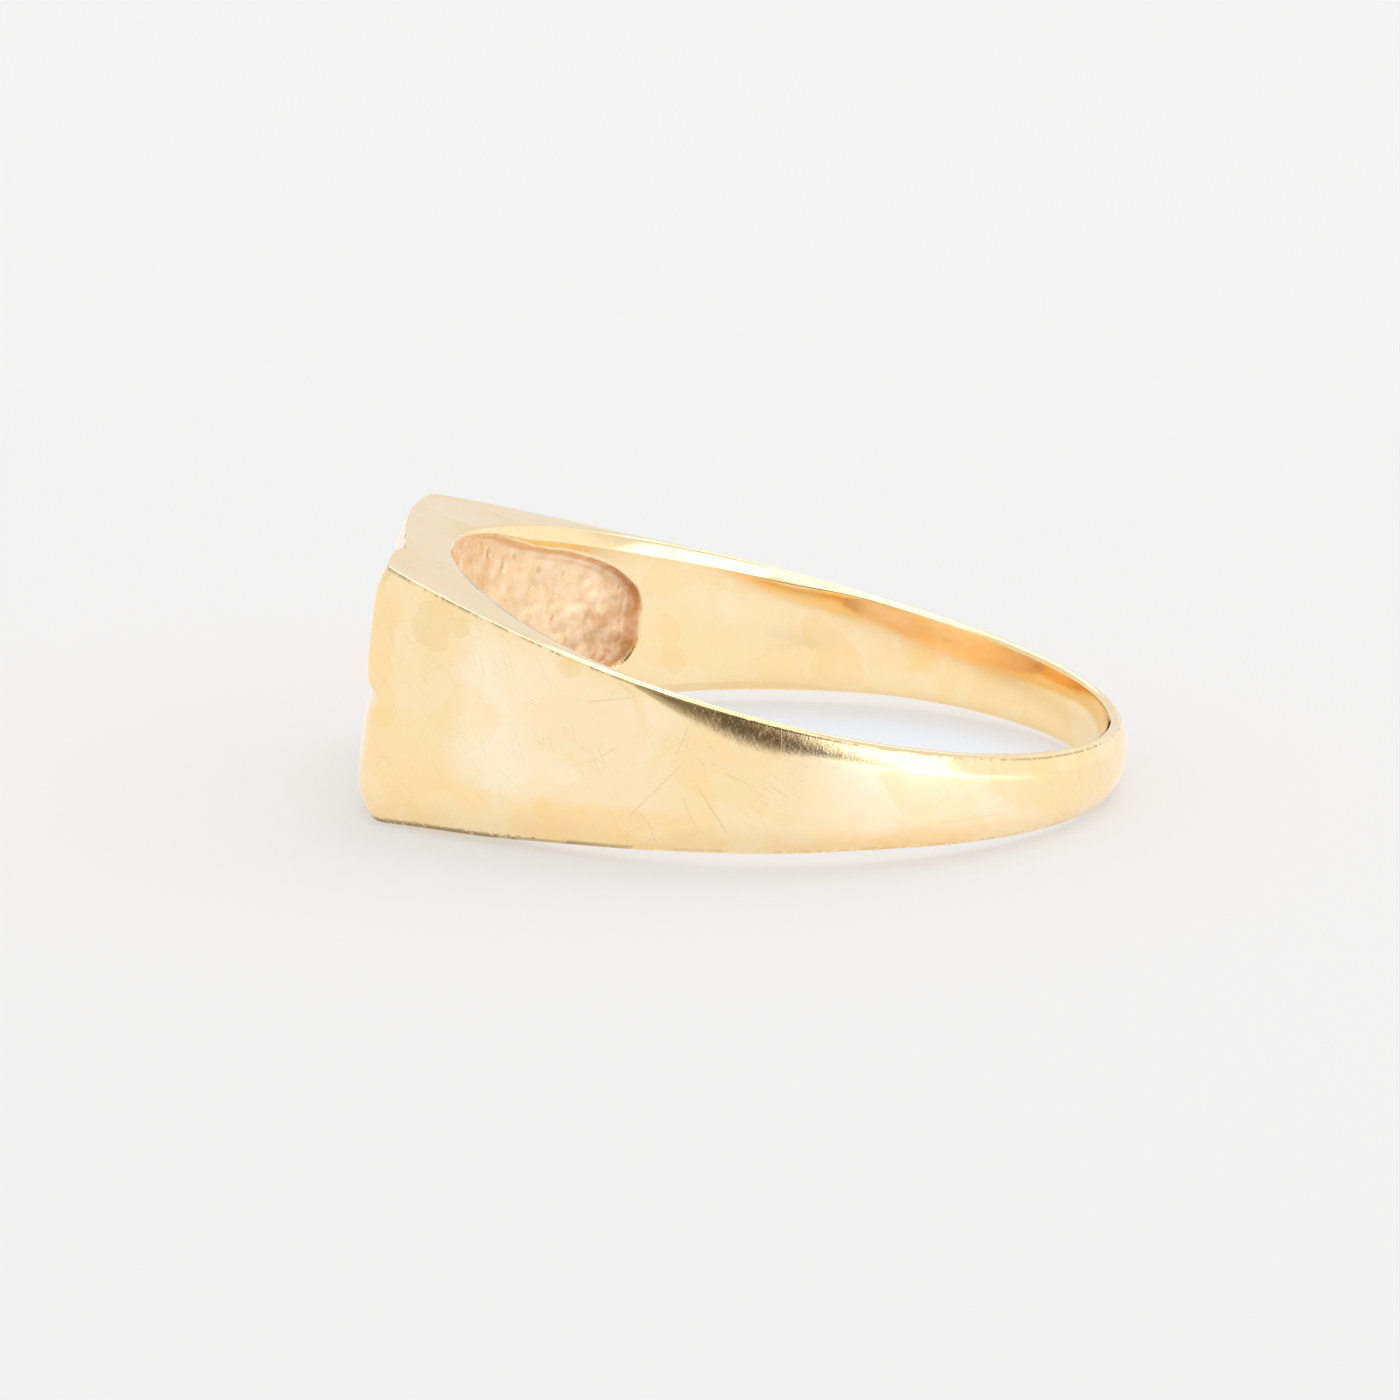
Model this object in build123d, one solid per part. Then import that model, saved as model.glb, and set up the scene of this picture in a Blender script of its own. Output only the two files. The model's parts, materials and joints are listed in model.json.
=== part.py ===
from build123d import *
import math
import os

# Signet ring, lying on its side. All sizes are in millimetres.
# The ring is drawn in its own coordinates first: the finger axis is Z, the face of
# the head looks along -X and the middle of the palm side is at +X. At the end it is
# tipped about Y onto the two places that it rests on, and set down on Z = 0.

# ---- driving dimensions ----
BORE_D = 18.2            # inside diameter: ring size US 8, UK Q
BAND_WALL = 0.75         # thickness of the band, round the sides and the palm side
HEAD_WALL = 1.7          # thickness of the head, from the finger hole to the edge of the face
FACE_W = 10.3            # face, measured round the finger
FACE_H = 7.04            # face, measured along the finger
SIDE_H = 3.46            # height of the band at the sides of the finger
PALM_H = 1.9             # height of the band at the middle of the palm side
SHOULDER_START = 105.0   # degrees from the palm side where the shoulders leave the band

LOBE_RISE = 0.25         # the face is pillowed: how far its lobes stand out
VALLEY_RISE = 0.07       # how far the valley along the face's length still stands out
GROOVE_DEPTH = 0.25      # groove across the face, below the edge of the face
GROOVE_W = 0.9           # width of that groove at the height of the lobes
GROOVE_SWING = 2.3       # how far the groove's ends lie to each side of the middle

RECESS_WRAP = 62.0       # degrees that the hollow behind the face reaches to each side
RECESS_DEPTH = 0.95      # depth of the hollow behind the middle of the face
RECESS_END_DEPTH = 0.35  # depth of the hollow at its two ends
RECESS_END_H = 3.0       # height of the hollow at its two ends
RECESS_END_R = 0.8       # rounding of the corners of those ends
RECESS_LIP = 0.35        # rim left above and below the hollow, behind the face

SHANK_WRAP = 50.0        # degrees that the shank reaches to each side of the palm side
SOLDER_GAP = 0.1         # thickness of the solder in each of the two joints

# ---- values worked out from them ----
BORE_R = BORE_D / 2
BAND_R = BORE_R + BAND_WALL
FACE_REACH = BORE_R + HEAD_WALL
TALL = 2 * FACE_H        # taller than anything in the ring
WIDE = 4 * BAND_R        # wider than anything in the ring


def on_circle(radius, degrees):
    """Point of a circle round the finger axis, counted from the palm side."""
    angle = math.radians(degrees)
    return Vector(radius * math.cos(angle), radius * math.sin(angle))


def flipped(points):
    """The same points on the other side of the local X axis."""
    return [Vector(point.X, -point.Y) for point in points]


def plan_face():
    """The ring's outside seen along the finger: band, two shoulders and head."""
    overhang = FACE_REACH + 2 * LOBE_RISE
    start = on_circle(BAND_R, SHOULDER_START)
    heading = on_circle(1, SHOULDER_START + 90)
    corner = Vector(-FACE_REACH, FACE_W / 2)
    tip = Vector(-overhang, FACE_W / 2)
    low_start, low_heading, low_corner, low_tip = flipped([start, heading, corner, tip])
    return make_face(
        [
            ThreePointArc(low_start, (BAND_R, 0), start),
            TangentArc(start, corner, tangent=heading),
            Polyline(corner, tip, low_tip, low_corner),
            TangentArc(low_start, low_corner, tangent=low_heading),
        ]
    )


def rim_arc():
    """Upper edge of the ring seen from the side, from the face to the palm side."""
    return ThreePointArc((-FACE_REACH, FACE_H / 2), (0, SIDE_H / 2), (BAND_R, PALM_H / 2))


def rim_height(x):
    """Half the ring's height at x, on the same arc as the upper edge."""
    arc = rim_arc()
    drop = math.sqrt(arc.radius**2 - (x - arc.arc_center.X) ** 2)
    return arc.arc_center.Y - drop


def side_face():
    """The ring seen from the side, with the two lobes of its face."""
    upper = rim_arc()
    lower = mirror(upper, Plane.XZ)
    past_palm = BAND_R + BAND_WALL
    valley = (-FACE_REACH - VALLEY_RISE, 0)
    top_edge, bottom_edge = (-FACE_REACH, FACE_H / 2), (-FACE_REACH, -FACE_H / 2)
    lobe_x = -FACE_REACH - LOBE_RISE
    return make_face(
        [
            upper,
            lower,
            Polyline(
                (BAND_R, PALM_H / 2),
                (past_palm, PALM_H / 2),
                (past_palm, -PALM_H / 2),
                (BAND_R, -PALM_H / 2),
            ),
            ThreePointArc(top_edge, (lobe_x, FACE_H / 4), valley),
            ThreePointArc(valley, (lobe_x, -FACE_H / 4), bottom_edge),
        ]
    )


def groove_cutter():
    """Slanting V groove that crosses the face and divides its lobes again."""
    tip_x = -FACE_REACH + GROOVE_DEPTH
    crest_to_tip = LOBE_RISE + GROOVE_DEPTH
    # The cutter is twice as deep and wide as the groove, so it ends clear of the lobes.
    cutter_x = tip_x - 2 * crest_to_tip
    profile = make_face(
        Polyline((tip_x, 0), (cutter_x, GROOVE_W), (cutter_x, -GROOVE_W), close=True)
    )
    slant = math.degrees(math.atan2(GROOVE_SWING, FACE_H / 2))
    return Rot(slant, 0, 0) * extrude(profile, TALL / 2, both=True)


def recess_cutter():
    """Scooped hollow behind the face: a round floor, cut to its outline from the side."""
    middle = Vector(-BORE_R - RECESS_DEPTH, 0)
    end = on_circle(BORE_R + RECESS_END_DEPTH, 180 - RECESS_WRAP)
    rise = end.X - middle.X
    floor_r = (end.Y**2 + rise**2) / (2 * rise)
    floor = Pos(middle.X + floor_r, 0) * Cylinder(floor_r, TALL)
    end_x = on_circle(BORE_R, 180 - RECESS_WRAP).X
    behind_face = rim_height(-BORE_R) - RECESS_LIP
    past_face = -FACE_REACH - LOBE_RISE
    half = [(past_face, behind_face), (-BORE_R, behind_face), (end_x, RECESS_END_H / 2)]
    other_half = [(x, -z) for x, z in reversed(half)]
    outline = make_face(Polyline(*half, *other_half, close=True))
    ends = outline.vertices().group_by(Axis.X)[-1]
    outline = fillet(ends, RECESS_END_R)
    return floor & extrude(Plane.XZ * outline, WIDE, both=True)


def wedge(offset):
    """Sector over the palm side. Its two faces stand off the joint planes by offset."""
    angle = math.radians(SHANK_WRAP)
    apex = Vector(-offset / math.sin(angle), 0)
    reach = on_circle(WIDE, SHANK_WRAP)
    low_reach = flipped([reach])[0]
    profile = make_face(Polyline(apex, apex + reach, apex + low_reach, close=True))
    return extrude(profile, TALL, both=True)


def ring_body():
    """The whole ring before it is parted at the two solder joints."""
    seen_from_above = extrude(plan_face(), TALL, both=True)
    seen_from_side = extrude(Plane.XZ * side_face(), WIDE, both=True)
    outside = seen_from_above & seen_from_side
    return outside - Cylinder(BORE_R, TALL) - groove_cutter() - recess_cutter()


def build_pieces():
    """The ring's four pieces, in the ring's own coordinates."""
    ring = ring_body()
    shank_sector = wedge(-SOLDER_GAP / 2)
    solder_sector = wedge(SOLDER_GAP / 2)
    solder = (ring & solder_sector) - shank_sector
    left, right = solder.solids().sort_by(Axis.Y, reverse=True)
    return {
        "signet_head": ring - solder_sector,
        "shank": ring & shank_sector,
        "solder_seam_left": left,
        "solder_seam_right": right,
    }


def set_down(pieces):
    """Tip the ring onto its face's lower edge and its palm side, and stand it on Z = 0."""
    tilt = math.degrees(math.atan2((FACE_H - PALM_H) / 2, FACE_REACH + BAND_R))
    tipped = {name: Rot(0, tilt, 0) * piece for name, piece in pieces.items()}
    solids = [solid for piece in tipped.values() for solid in piece.solids()]
    box = Compound(children=solids).bounding_box()
    place = Pos(-box.center().X, -box.center().Y, -box.min.Z)
    return {name: place * piece for name, piece in tipped.items()}


os.makedirs("parts", exist_ok=True)
for name, piece in set_down(build_pieces()).items():
    export_step(piece, f"parts/{name}.step")
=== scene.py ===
"""Looks of the signet ring: a cast and polished gold head, a shank and two solder seams.

Everything is drawn in the ring's own coordinates in millimetres, with the finger axis
along Z, the face of the head towards -X and the middle of the palm side at +X. The bore
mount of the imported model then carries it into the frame, in metres.
"""

import json
import math

import bpy
import numpy as np
from mathutils import Matrix, Vector, noise


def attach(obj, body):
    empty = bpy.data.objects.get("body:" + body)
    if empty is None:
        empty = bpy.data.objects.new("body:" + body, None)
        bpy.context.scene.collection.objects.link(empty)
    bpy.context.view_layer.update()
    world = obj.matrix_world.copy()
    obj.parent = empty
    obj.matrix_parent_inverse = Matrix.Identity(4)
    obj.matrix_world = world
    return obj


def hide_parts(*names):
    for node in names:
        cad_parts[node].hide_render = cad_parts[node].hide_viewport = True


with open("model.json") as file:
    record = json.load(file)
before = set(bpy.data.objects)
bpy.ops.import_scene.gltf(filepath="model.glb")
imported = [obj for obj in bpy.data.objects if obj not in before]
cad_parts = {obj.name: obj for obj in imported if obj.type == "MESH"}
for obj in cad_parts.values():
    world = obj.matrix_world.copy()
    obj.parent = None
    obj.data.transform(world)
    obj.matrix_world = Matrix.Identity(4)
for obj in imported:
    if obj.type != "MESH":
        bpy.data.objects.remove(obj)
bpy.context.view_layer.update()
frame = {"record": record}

MM = 0.001

# ---- the ring's sizes, in millimetres and degrees ----
bore = frame["record"]["mounts"][0]
BORE_R = bore["dims"]["r_mm"]
BAND_WALL = 0.75
HEAD_WALL = 1.7
BAND_R = BORE_R + BAND_WALL
FACE_REACH = BORE_R + HEAD_WALL
FACE_W = 10.3
FACE_H = 7.04
SIDE_H = 3.46
PALM_H = 1.9
SHOULDER_START = 105.0  # from the middle of the palm side
SHANK_WRAP = 50.0
SEAM_HALF = 0.3         # half of a solder seam
HEAD = 180.0            # where the middle of the head lies
NEAR_SIDE = 270.0       # and the side of the band that faces the camera

# ---- the ring's axes in the frame ----
axis_z = Vector(bore["axis"]).normalized()
axis_y = Vector((0, 1, 0))
axis_x = axis_y.cross(axis_z)
centre = Vector(bore["pos_m"])
RING_TO_FRAME = Matrix.Translation(centre) @ Matrix((axis_x, axis_y, axis_z)).transposed().to_4x4()


# ---------------------------------------------------------------- small helpers
def smooth(low, high, x):
    """0 below low, 1 above high, and a smooth step between. Low may be the larger."""
    t = np.clip((x - low) / (high - low), 0, 1)
    return t * t * (3 - 2 * t)


def spread(count):
    """Values from -1 to 1, twice as close together at the ends as in the middle."""
    u = np.linspace(-1, 1, count)
    return 0.5 * u + 0.5 * np.sin(0.5 * math.pi * u)


def wander(points, size, seed):
    """Smooth noise from about -1 to 1 at each point, with features of that size in mm."""
    shift = Vector((seed * 17.3, seed * 5.1, -seed * 9.7))
    flat = points.reshape(-1, 3) / size
    values = [noise.noise(Vector(p) + shift) for p in flat]
    return np.array(values).reshape(points.shape[:-1])


def on_cylinder(radius, degrees, z):
    """Points of a cylinder round the finger axis, as an array of (x, y, z)."""
    angle = np.radians(degrees)
    radius, angle, z = np.broadcast_arrays(radius, angle, z)
    return np.stack([radius * np.cos(angle), radius * np.sin(angle), z], axis=-1)


def from_palm(phi):
    """Angle from the middle of the palm side, 0 to 180, on either side of the ring."""
    return np.abs((phi + 180) % 360 - 180)


# ---------------------------------------------------------------- outside shape
LOW_SAG = 0.09          # the lower rim lies this much deeper below the shoulders
PALM_WEAR = 0.13        # the palm side is worn thinner
CORNER_BLEND = 0.12     # softness of the upright corners between face and shoulders

FACE_LOBE = 0.20        # how far the lobes of the face stand out
FACE_VALLEY = 0.05      # how far the valley between them still stands out
FACE_ROUND_TOP = 0.09   # how far the face falls back at its upper edge
FACE_ROUND_LOW = 0.18   # and at its lower edge, which is worn
FACE_ROUND_SIDE = 0.26  # and at the side edge of two of its quarters
FLAT_REACH = 2.4        # it starts to fall back this far from its middle
FALL_UP = 1.1           # and has fallen by those amounts this much further up or down
FALL_ROUND = 2.7        # or this much further round
FACE_FROM = 100         # the face is looked for beyond these degrees from the palm side
NO_FACE = 99            # a radius beyond everything, where there is no face
GROOVE_SWING = 2.3      # the groove's ends, to each side of the middle
GROOVE_DEPTH = 0.22
GROOVE_WIDTH = 0.3
PILLOW_DEPTH = 0.24     # the broad fall of the face towards one side of the groove
PILLOW_WIDTH = 2.2

CROWN_WIDTH = 0.58      # the crowned strip of the outside, beside the finger
CROWN_SWELL = 0.42      # it is this much wider where the shoulders begin
SWELL_MIDDLE = 92       # the degrees at which that is widest
SWELL_REACH = 8         # and how far it reaches
CROWN_PALM = 0.2        # it is this much wider at the palm side
EDGE_SLOPE = 0.22       # the outside leans in by this share of the strip's width
PALM_SLOPE = 0.07       # and by this much more at the palm side
BAND_BELLY = 0.09       # the band's outside is this much fuller in the middle of its height
LOW_LEAN = 0.13         # the head's sides lean in this far at their worn lower edge
LOW_LEAN_HEIGHT = 0.9   # from this height above it

RIM_DOME = 0.05         # the band's rim falls this far to its edges
EDGE_SOFT_TOP = 0.042   # radius of the worn upper outer edge
EDGE_SOFT_LOW = 0.09    # and of the lower one
EDGE_UNEVEN = 0.014     # how far that radius wanders
NICK_SIZE = 0.06        # how much a nick adds to it


def circle_through(p, q, r):
    """Centre and radius of the circle through three points."""
    p, q, r = np.array(p), np.array(q), np.array(r)
    rows = 2 * np.array([q - p, r - p])
    sums = [q @ q - p @ p, r @ r - p @ p]
    centre_xy = np.linalg.solve(rows, sums)
    return centre_xy, math.dist(p, centre_xy)


FACE_EDGE = (-FACE_REACH, FACE_H / 2)
RIM_CENTRE, RIM_R = circle_through(FACE_EDGE, (0, SIDE_H / 2), (BAND_R, PALM_H / 2))


def rim_height(x, side=+1):
    """Half the ring's height at x, for the upper (+1) or lower (-1) rim."""
    sag = LOW_SAG * smooth(-9.4, -6.5, x) * smooth(4.0, -0.5, x) if side < 0 else 0
    return RIM_CENTRE[1] - np.sqrt(RIM_R**2 - (x - RIM_CENTRE[0]) ** 2) + sag


def shoulder_circle():
    """Centre and radius of the shoulder's arc, tangent to the band and ending at the face."""
    angle = math.radians(SHOULDER_START)
    start = BAND_R * np.array([math.cos(angle), math.sin(angle)])
    inward = -np.array([math.cos(angle), math.sin(angle)])
    chord = np.array([-FACE_REACH, FACE_W / 2]) - start
    radius = chord @ chord / (2 * chord @ inward)
    return start + radius * inward, radius


SHOULDER_CENTRE, SHOULDER_R = shoulder_circle()


def side_radius(psi):
    """Outside radius of the band and the shoulders, at psi degrees from the palm side."""
    angle = np.radians(psi)
    along = SHOULDER_CENTRE[0] * np.cos(angle) + SHOULDER_CENTRE[1] * np.sin(angle)
    inside = along**2 - SHOULDER_CENTRE @ SHOULDER_CENTRE + SHOULDER_R**2
    band = BAND_R - PALM_WEAR * smooth(70, 20, psi)
    return np.where(psi > SHOULDER_START, along + np.sqrt(inside), band)


def face_bulge(y, z):
    """How far the face stands out beyond its edge, at y and z."""
    quarter = FACE_H / 4
    lobe = FACE_VALLEY + FACE_LOBE * (1 - np.abs((np.abs(z) - quarter) / quarter) ** 4)
    rounding = np.where(z > 0, FACE_ROUND_TOP, FACE_ROUND_LOW)
    fall = rounding * np.clip((np.abs(z) - FLAT_REACH) / FALL_UP, 0, 2) ** 2
    groove_y = -GROOVE_SWING * np.sin(math.pi * z / FACE_H)
    away = y - groove_y
    groove = GROOVE_DEPTH * np.exp(-np.abs(away) / GROOVE_WIDTH)
    gentle_side = smooth(-1, 1, away * np.sign(z))
    pillow = PILLOW_DEPTH * gentle_side * np.exp(-((away / PILLOW_WIDTH) ** 2))
    to_side = np.clip((np.abs(y) - FLAT_REACH) / FALL_ROUND, 0, 1.2) ** 2
    side_fall = FACE_ROUND_SIDE * to_side * smooth(-1, 1, y * np.sign(z))
    return lobe - fall - groove - pillow - side_fall


def outer_radius(phi, z):
    """Outside radius before the edges are rounded, at phi degrees and height z."""
    psi = from_palm(phi)
    side = side_radius(psi)
    facing = np.clip(-np.cos(np.radians(psi)), 0.2, 1)
    y = np.clip(FACE_REACH * np.tan(np.radians(180 - phi)), -6, 6)
    y = np.where(psi > FACE_FROM, y, 0)
    face = np.where(psi > FACE_FROM, (FACE_REACH + face_bulge(y, z)) / facing, NO_FACE)
    low = np.minimum(side, face)
    blend = np.exp(-(side - low) / CORNER_BLEND) + np.exp(-(face - low) / CORNER_BLEND)
    return low - CORNER_BLEND * np.log(blend)


def crown(phi, z, half):
    """How far the outside leans in towards its edges, and how far into the crowned strip z is."""
    psi = from_palm(phi)
    swell = CROWN_SWELL * np.exp(-(((psi - SWELL_MIDDLE) / SWELL_REACH) ** 2))
    width = (CROWN_WIDTH + swell) * smooth(117, 102, psi)
    width = np.minimum(width + CROWN_PALM * smooth(60, 20, psi), half)
    slope = EDGE_SLOPE + PALM_SLOPE * smooth(60, 20, psi)
    into = np.clip((np.abs(z) - half + width) / np.maximum(width, 0.01), 0, 1)
    belly = BAND_BELLY * smooth(96, 76, psi) * (z / half) ** 2
    low = LOW_LEAN * smooth(104, 130, psi) * np.clip(1 - (half + z) / LOW_LEAN_HEIGHT, 0, 1) ** 2
    return slope * width * into**2 + belly + low, into


def dome(psi):
    """How far the rim's two edges lie below its middle. The rim of the head is flat."""
    return RIM_DOME * smooth(150, 115, psi)


def edge_round(phi, side):
    """Radius of the upper (+1) or lower (-1) outer edge: worn, with small nicks."""
    points = on_cylinder(BAND_R, phi, side + 0 * phi)
    worn = (EDGE_SOFT_TOP if side > 0 else EDGE_SOFT_LOW) + EDGE_UNEVEN * wander(points, 1.7, 3)
    nicks = np.clip(wander(points, 0.27, 4) - 0.35, 0, 1)
    return worn + NICK_SIZE * nicks


def edge_height(phi, side, drop):
    """Height of the upper or lower outer edge, which depends on how far out it lies."""
    edge_r = outer_radius(phi, side * rim_height(np.full_like(phi, -FACE_REACH)))
    for _ in range(4):
        top = rim_height(edge_r * np.cos(np.radians(phi)), side) - drop
        edge_r = outer_radius(phi, side * top) - crown(phi, side * top, top)[0]
    return top


def polish(points):
    """Slight waves left by hand polishing."""
    return 0.006 * wander(points, 3.2, 31) + 0.003 * wander(points, 1.4, 32)


def outer_wall(phi, z, top):
    """Radius of the finished outside at phi and z, where its edge is at the height top."""
    radius = outer_radius(phi, z) - crown(phi, z, top)[0]
    return radius + polish(on_cylinder(radius, phi, z))


# ---------------------------------------------------------------- inside shape
WALL_FLARE = 0.045      # the band's inner wall opens out this far at its edges
BEVEL_FLATNESS = 1.9    # 1 makes the bevel round the hole round, 2 makes it flat
BEHIND_FACE = 0.15      # share of the bevel that is left behind the middle of the face

RECESS_WRAP = 63.5      # degrees that the hollow reaches to each side
RECESS_DEPTH = 0.95     # its depth behind the middle of the face
RECESS_END_DEPTH = 0.4  # and at its two ends
RECESS_BREAKOUT = 0.28  # behind the middle of the face it runs out through the rim
RECESS_LEDGE = 0.13     # height of the ledge below its upper border
RECESS_PIT = 0.08       # depth of its pits
RECESS_CREASE = 0.14    # depth of the creases at its rough ends


def bevel_share(x):
    """The bevel fades out behind the middle of the face."""
    return BEHIND_FACE + (1 - BEHIND_FACE) * smooth(-8.9, -7.2, x)


def bevel_width(x):
    """Width of the bevel round the hole, across the rim."""
    return (0.06 + 0.16 * smooth(2.6, -0.8, x) + 0.05 * smooth(-1, -6, x)) * bevel_share(x)


def bevel_drop(x):
    """Height of that bevel, down the wall of the hole."""
    return (0.07 + 0.20 * smooth(2.6, -0.8, x) + 0.08 * smooth(-1, -6, x)) * bevel_share(x)


def wall_flare(psi):
    """How far the inner wall opens out at its edges, at psi degrees from the palm side."""
    return WALL_FLARE * smooth(112, 86, psi) * smooth(8, 34, psi)


def recess(phi, z, half):
    """The hollow behind the face, on the wall of the hole: depth, mask and painted crevice shade.
    """
    turn = np.abs(phi - HEAD)
    points = on_cylinder(BORE_R, phi, z)

    ragged = 0.9 * wander(points, 1.3, 11) + 0.5 * wander(points, 0.5, 12)
    reach = np.clip((turn + ragged * 1.2) / RECESS_WRAP, 0, 1)
    lip = 0.05 + 0.16 * smooth(24, 44, turn)
    outline = (half - lip) * np.sqrt(1 - reach**11)
    from_edge = outline - np.abs(z) + 0.05 * ragged
    from_end = (RECESS_WRAP - turn) * math.radians(BORE_R) + 0.08 * ragged
    inside = np.maximum(smooth(0, 0.26, from_edge), RECESS_BREAKOUT * smooth(36, 8, turn))
    inside = inside * smooth(0, 0.5, from_end)

    floor = RECESS_END_DEPTH + (RECESS_DEPTH - RECESS_END_DEPTH) * smooth(62, 8, turn)
    rough_end = 0.1 + 0.9 * smooth(30, 56, turn + 8 * ragged) * smooth(1.6, -1.2, z)
    crease = np.abs(wander(points, 0.66, 21)) + 0.6 * np.abs(wander(points, 0.36, 22))
    lumps = 0.07 * wander(points, 1.3, 20) + 0.045 * wander(points, 0.5, 28)
    lumps = lumps * (0.35 + 0.65 * smooth(22, 46, turn))
    lumps = lumps - RECESS_CREASE * rough_end * np.minimum(crease, 0.5)
    grain = 0.012 * wander(points, 0.3, 23) + 0.005 * wander(points, 0.14, 24)
    pitted = smooth(0.5, 0.75, wander(points, 0.36, 25))
    ledge = smooth(0.45, 0.3, from_edge) * smooth(34, 42, turn) * smooth(58, 51, turn)
    ledge = ledge * smooth(0, 1, z)
    depth = inside * (floor + lumps + grain + RECESS_PIT * pitted - RECESS_LEDGE * ledge)

    # Painted shade: darker towards the hollow's rough ends, under its lip, in its creases and in
    # its pits.
    into_end = from_end + 1.3 * wander(points, 0.9, 26) + 0.5 * wander(points, 0.3, 27)
    near_end = 0.85 * smooth(2.7, 0.2, into_end + 0.35 * z)
    near_lip = 0.5 * smooth(0.34, 0.05, from_edge) * smooth(10, 30, turn)
    hollow = smooth(0.15, 0.6, 6 * lumps + 0.3)
    in_crease = 0.25 * hollow + 0.6 * rough_end * smooth(0.3, 0.04, crease)
    grime = np.maximum.reduce([near_end, near_lip, in_crease, 0.8 * pitted])
    return depth, smooth(0, 0.25, inside), grime


# ---------------------------------------------------------------- one closed section after another
MASKS = ("as_cast", "grime", "outer_edge", "worn", "crown", "rubbed")
OUTSIDE_ROWS = 45
EDGE_ROWS = 5
RIM_ROWS = 7
BEVEL_ROWS = 9
FIRST_ACROSS = 0.02     # the rim's first row lies this share of its width from the edge


def painted_pale_middle(phi, z, half):
    """Painted reflection: the middle of the head's sides drawn paler than their edges, up to a wavy
    border.
    """
    psi = from_palm(phi)
    points = on_cylinder(BAND_R, phi, z)
    wave = 0.10 * wander(points, 2.0, 41) + 0.05 * wander(points, 0.8, 42)
    height = z / half + wave
    upright = smooth(-0.6, -0.45, height) * smooth(1.05, 0.7, height)
    return upright * smooth(143, 136, psi + 25 * wave) * smooth(92, 112, psi)


def quarter_turn(count):
    """Angles up to a right angle, in radians, without the first."""
    return np.radians(np.linspace(0, 90, count + 1)[1:])[None, :]


def rim_rows(phi, side, top, soft):
    """Rows of the upper or lower rim: its rounded edge, its breadth and its bevel.

    Each is a pair of radius and height. The height where the bevel ends follows them.
    """
    psi = from_palm(phi)
    wall_r = outer_wall(phi, side * (top - soft), top)
    turn = quarter_turn(EDGE_ROWS + 1)
    edge = (wall_r - soft + soft * np.cos(turn), side * (top - soft + soft * np.sin(turn)))

    x_in = BORE_R * np.cos(np.radians(phi))
    open_r = BORE_R + recess(phi, side * top, top)[0] + wall_flare(psi)
    width = bevel_width(x_in) + open_r - BORE_R
    across = np.concatenate([[FIRST_ACROSS], np.linspace(0, 1, RIM_ROWS + 2)[1:]])[None, :]
    rim_r = (wall_r - soft) * (1 - across) + (BORE_R + width) * across
    bow = dome(psi) * (2 * across - 1) ** 2
    rim_z = rim_height(rim_r * np.cos(np.radians(phi)), side) - bow

    down = quarter_turn(BEVEL_ROWS)
    fall = bevel_drop(x_in)
    bevel_r = open_r + bevel_width(x_in) * (1 - np.sin(down) ** BEVEL_FLATNESS)
    bevel_z = rim_z[:, -1:] - fall * (1 - np.cos(down) ** BEVEL_FLATNESS)
    return edge, (rim_r, side * rim_z), (bevel_r, side * bevel_z), rim_z[:, -1:] - fall


def sections(phi, wall_rows):
    """Points of every section, ring coordinates, as (sections, points round, 3), with masks."""
    phi = phi[:, None]
    psi = from_palm(phi)
    soft = {side: edge_round(phi, side) for side in (+1, -1)}
    tops = {side: edge_height(phi, side, dome(psi)) for side in (+1, -1)}

    rows = spread(OUTSIDE_ROWS)[None, :]
    top = np.where(rows > 0, tops[+1], tops[-1])
    z = rows * (top - np.where(rows > 0, soft[+1], soft[-1]))
    outside = (outer_wall(phi, z, top), z)

    *upper, upper_end = rim_rows(phi, +1, tops[+1], soft[+1])
    *lower, lower_end = rim_rows(phi, -1, tops[-1], soft[-1])
    lower = [(r[:, ::-1], h[:, ::-1]) for r, h in reversed(lower)]

    wall = -spread(wall_rows)[None, 1:-1]
    wall_top = np.where(wall > 0, upper_end, lower_end)
    wall_z = wall * wall_top
    depth, cast, grime = recess(phi, wall_z, wall_top)
    inside = (BORE_R + depth + wall_flare(psi) * (wall_z / wall_top) ** 4, wall_z)

    chain = [outside, *upper, inside, *lower]
    radius = np.concatenate([np.broadcast_to(r, h.shape) for r, h in chain], axis=1)
    height = np.concatenate([h for _, h in chain], axis=1)

    masks = {name: np.zeros_like(radius) for name in MASKS}
    sizes = [h.shape[1] for _, h in chain]
    on_wall = slice(sum(sizes[:4]), sum(sizes[:5]))
    masks["as_cast"][:, on_wall] = cast
    # Painted shade in the hollow's creases, ends and pits.
    masks["grime"][:, on_wall] = grime
    edge_at = sizes[0]
    # Painted shade along the outer edges: a dark reflection under the upper edge, and contact shade
    # along the lower one, strongest towards the face.
    low_edge_shade = 0.3 + 1.2 * smooth(98, 128, psi)
    masks["outer_edge"][:, edge_at - 1 : edge_at + 3] = 1
    masks["outer_edge"][:, -4:] = low_edge_shade
    masks["outer_edge"][:, :1] = low_edge_shade
    masks["worn"][:, :edge_at] = 1
    # Painted reflection: the middle of the head's sides paler than their edges.
    masks["rubbed"][:, :edge_at] = painted_pale_middle(phi, z, top)
    brushed = smooth(112, 100, psi) * smooth(66, 78, psi)
    into_crown = crown(phi, z, top)[1]
    masks["crown"][:, :edge_at] = brushed * smooth(0, 0.35, into_crown) * (z > 0)
    masks["crown"][:, edge_at : edge_at + 2] = brushed
    return on_cylinder(radius, phi, height), masks


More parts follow.
